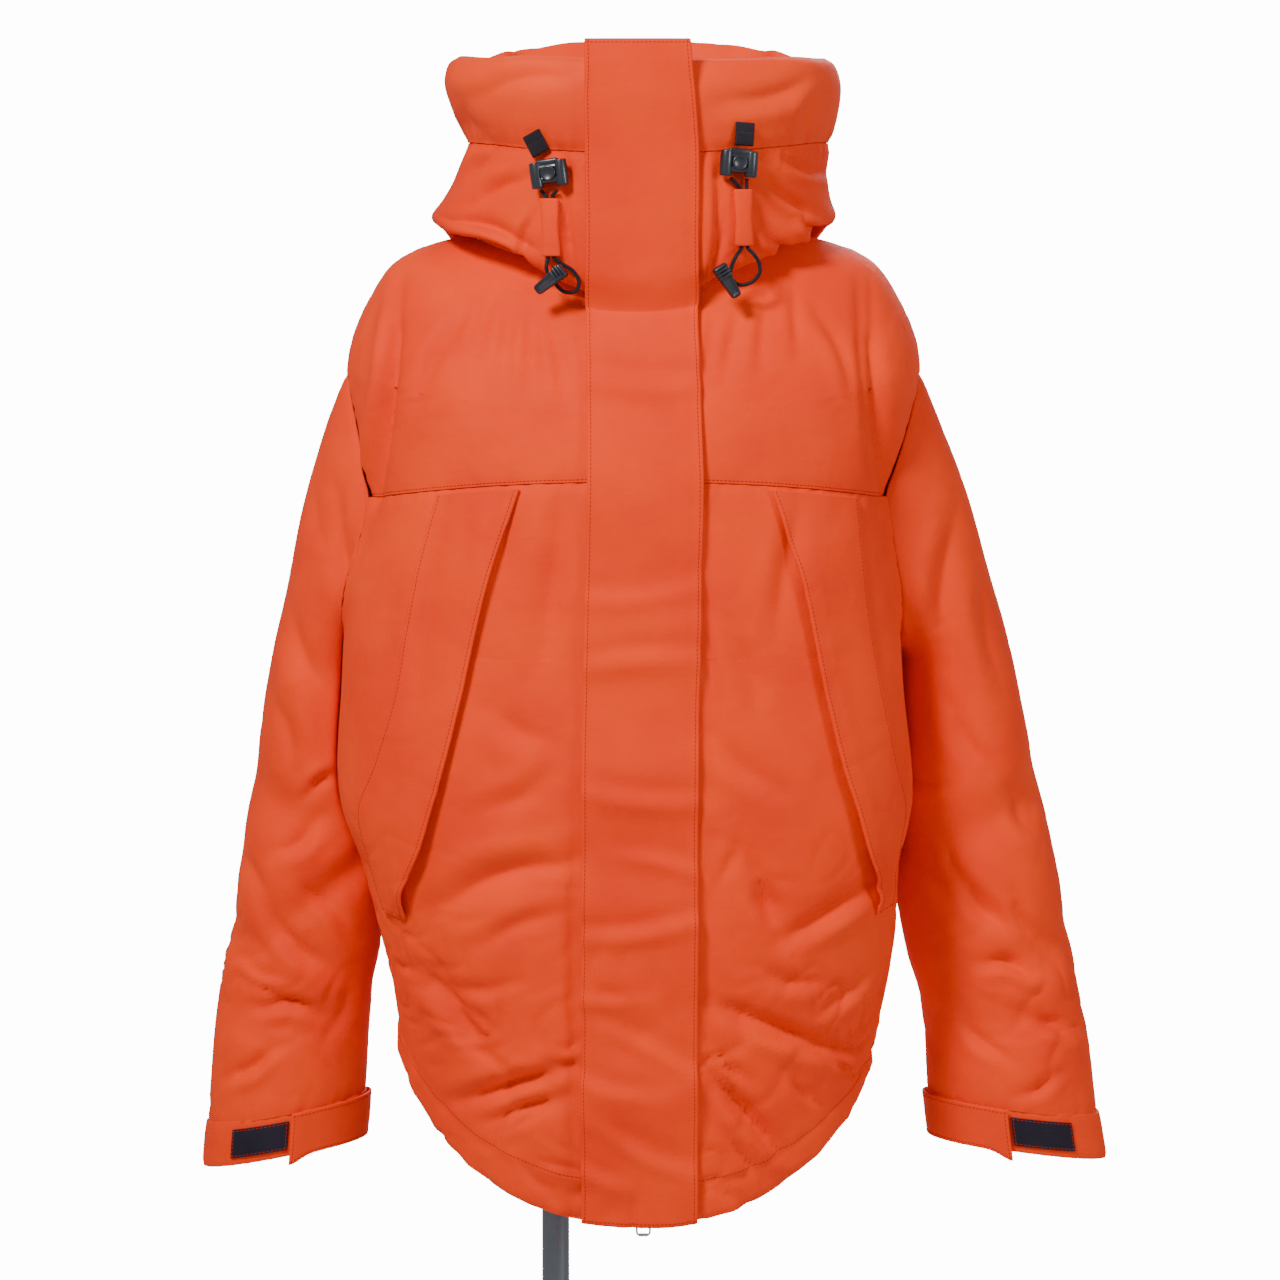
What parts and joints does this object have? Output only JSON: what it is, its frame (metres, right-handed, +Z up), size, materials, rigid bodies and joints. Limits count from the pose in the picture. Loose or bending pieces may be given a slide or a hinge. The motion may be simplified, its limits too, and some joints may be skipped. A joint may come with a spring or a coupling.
{
  "type": "puffer jacket on dress form",
  "caption": "Hooded padded jacket zipped to the chin under a full-length storm placket, with slanted pocket panels and tab cuffs, worn on a limbless dress form with a pole and a round base",
  "frame": {"origin": "the middle of the base plate's underside, on the floor, in the jacket's centre plane", "axes": "+Z up; the jacket faces -Y; -X is the picture's left, which is the wearer's right"},
  "size_m": [0.734, 0.416, 1.588],
  "materials": {
    "shell_cloth": "matt fine plain weave with a soft sheen",
    "collar_cloth": "matt fine plain weave",
    "overlay_cloth": "matt fine plain weave",
    "zip_tape": "woven tape",
    "hook_tape": "matt hook tape",
    "black_plastic": "satin moulded",
    "black_webbing": "woven cord and webbing",
    "zip_metal": "polished cast metal",
    "form_cover": "plain cotton cover",
    "stand_steel": "satin"
  },
  "bodies": {
    "jacket_and_stand": {"front_lower_left": "shell_cloth", "front_yoke_left": "shell_cloth", "front_lower_right": "shell_cloth", "front_yoke_right": "shell_cloth", "back_lower": "shell_cloth", "back_yoke": "shell_cloth", "sleeve_left": "shell_cloth", "cuff_left": "shell_cloth", "cuff_tab_left": "shell_cloth", "hook_patch_left": "hook_tape", "sleeve_right": "shell_cloth", "cuff_right": "shell_cloth", "cuff_tab_right": "shell_cloth", "hook_patch_right": "hook_tape", "hood_lower_left": "shell_cloth", "hood_band_left": "collar_cloth", "hood_lower_right": "shell_cloth", "hood_band_right": "collar_cloth", "hood_crown": "shell_cloth", "hood_facing": "collar_cloth", "storm_placket": "overlay_cloth", "pocket_panel_left": "overlay_cloth", "pocket_panel_right": "overlay_cloth", "zip_tape": "zip_tape", "zip_slider": "zip_metal", "cord_lock_left": "black_plastic", "lock_tab_left": "black_webbing", "cord_toggle_left": "black_plastic", "cord_tube_left": "shell_cloth", "drawcord_left": "black_webbing", "cord_lock_right": "black_plastic", "lock_tab_right": "black_webbing", "cord_toggle_right": "black_plastic", "cord_tube_right": "shell_cloth", "drawcord_right": "black_webbing", "dress_form": "form_cover", "form_socket": "stand_steel", "pole": "stand_steel", "base_plate": "stand_steel"},
    "zip_pull": {"zip_pull": "zip_metal"}
  },
  "joints": [
    {"name": "pull_swing", "type": "hinge", "parent": "jacket_and_stand", "child": "zip_pull", "pos_m": [0.0026, -0.1435, 0.6645], "axis": [1, 0, 0], "range_deg": [-15, 60]}
  ]
}
